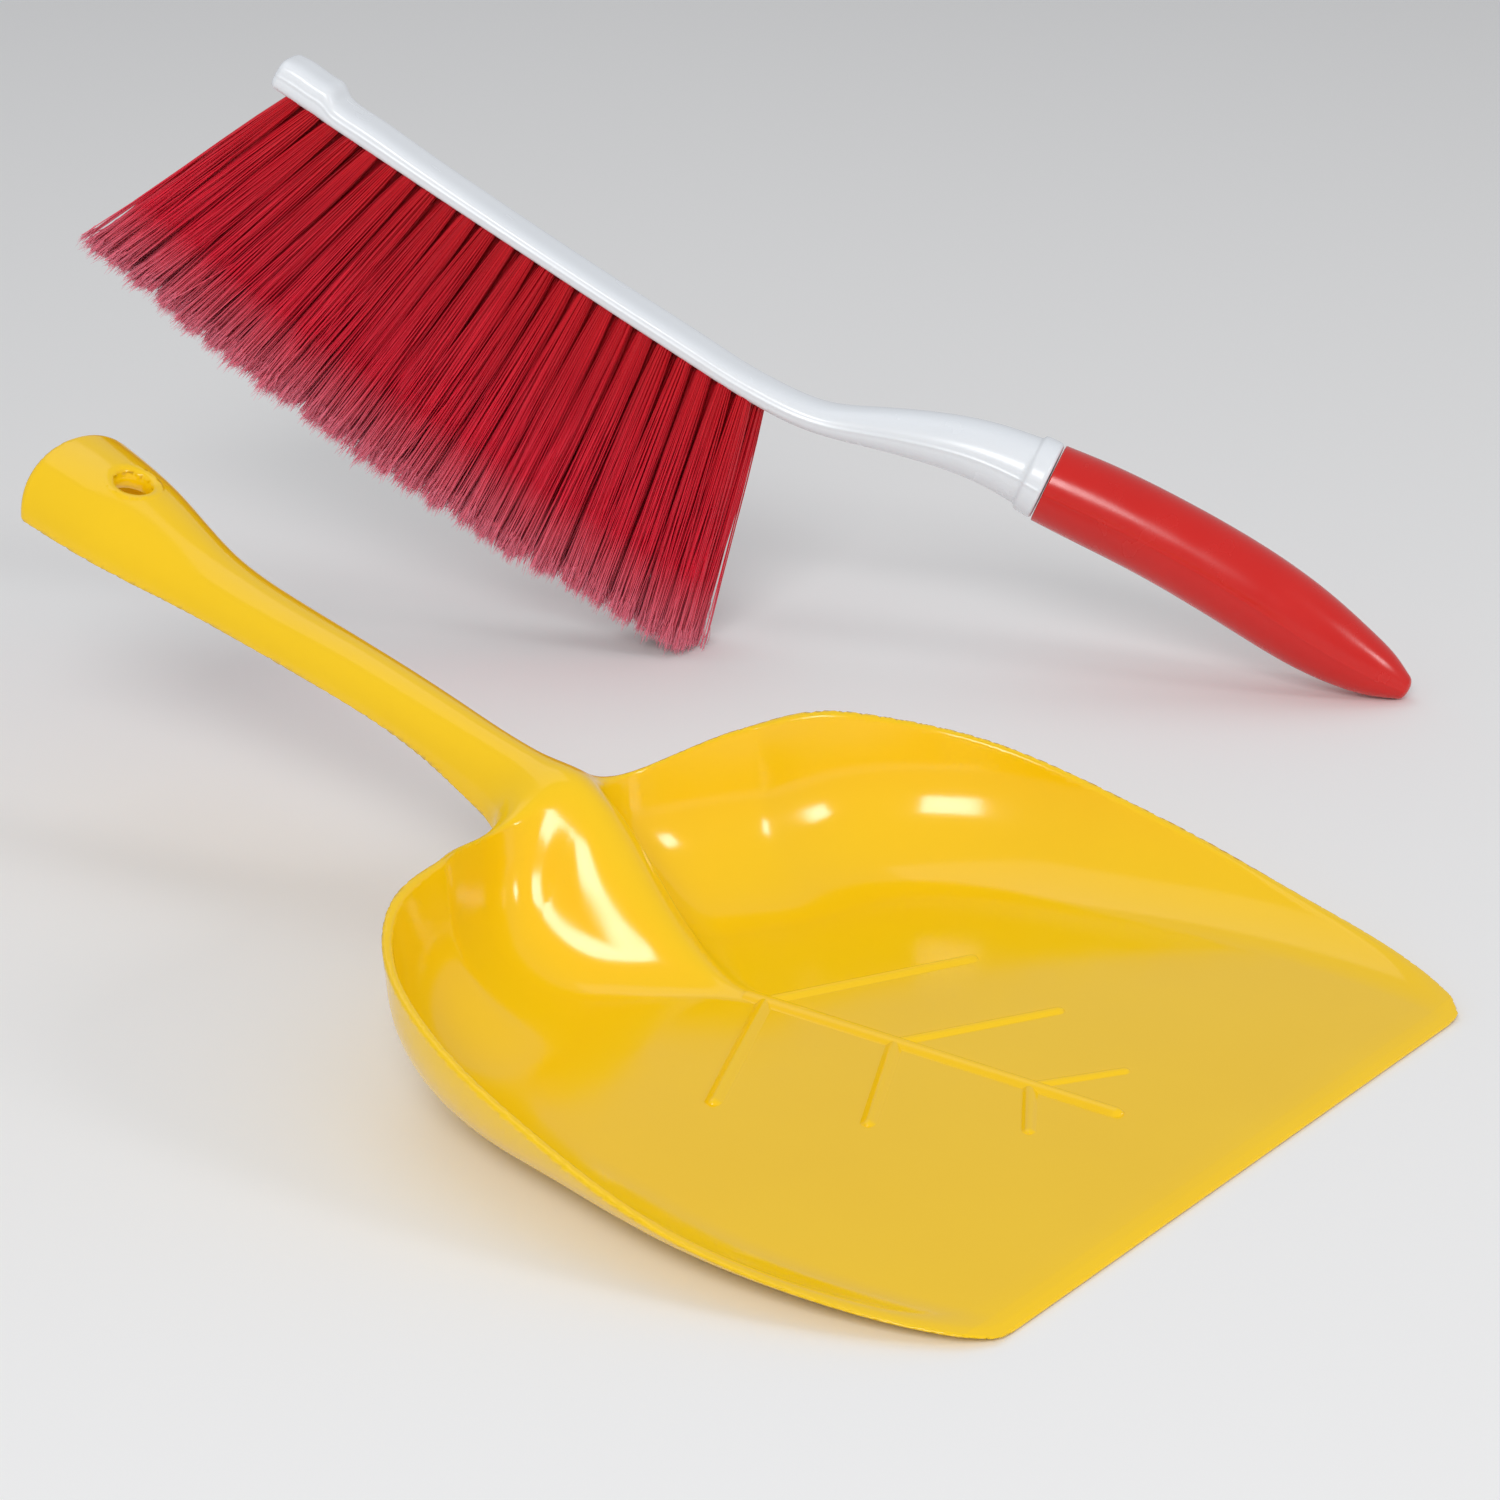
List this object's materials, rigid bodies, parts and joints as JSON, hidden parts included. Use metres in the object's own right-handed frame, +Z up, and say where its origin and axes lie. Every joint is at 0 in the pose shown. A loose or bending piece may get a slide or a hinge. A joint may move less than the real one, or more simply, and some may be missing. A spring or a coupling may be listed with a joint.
{
  "type": "dust pan and brush set",
  "caption": "Leaf-shaped dust pan with a raised channel handle and hanging hole, and a hand brush with splayed tufts, a swelling neck and a rounded grip, standing behind it.",
  "frame": {"origin": "on the pan's flat underside, on its middle line, below the middle pair of leaf veins and 96 mm behind the mouth", "axes": "-Y out of the pan's mouth, +Y towards its handle, +Z up from the floor that both pieces stand on, +X to the side where the brush stands"},
  "size_m": [0.4262, 0.5024, 0.1802],
  "materials": {
    "pan_plastic": "gloss",
    "stock_plastic": "gloss",
    "grip_plastic": "satin gloss",
    "bristle": "filament",
    "anchor_wire": "bright"
  },
  "bodies": {
    "pan": {"dust_pan": "pan_plastic"},
    "brush": {"brush_stock": "stock_plastic", "grip_sleeve": "grip_plastic", "tufts_01": "bristle", "tufts_02": "bristle", "tufts_03": "bristle", "tufts_04": "bristle", "tufts_05": "bristle", "tufts_06": "bristle", "tufts_07": "bristle", "tufts_08": "bristle", "tufts_09": "bristle", "tufts_10": "bristle", "tufts_11": "bristle", "tufts_12": "bristle", "tufts_13": "bristle", "tufts_14": "bristle", "tufts_15": "bristle", "tufts_16": "bristle", "tufts_17": "bristle", "tufts_18": "bristle", "tufts_19": "bristle", "tufts_20": "bristle", "tufts_21": "bristle", "tufts_22": "bristle", "tufts_23": "bristle", "tufts_24": "bristle", "anchors_left": "anchor_wire", "anchors_middle": "anchor_wire", "anchors_right": "anchor_wire"}
  },
  "joints": [
    {"name": "brush_lift", "type": "slide", "parent": "pan", "child": "brush", "axis": [0, 0, 1], "range_m": [0, 0.15]}
  ]
}
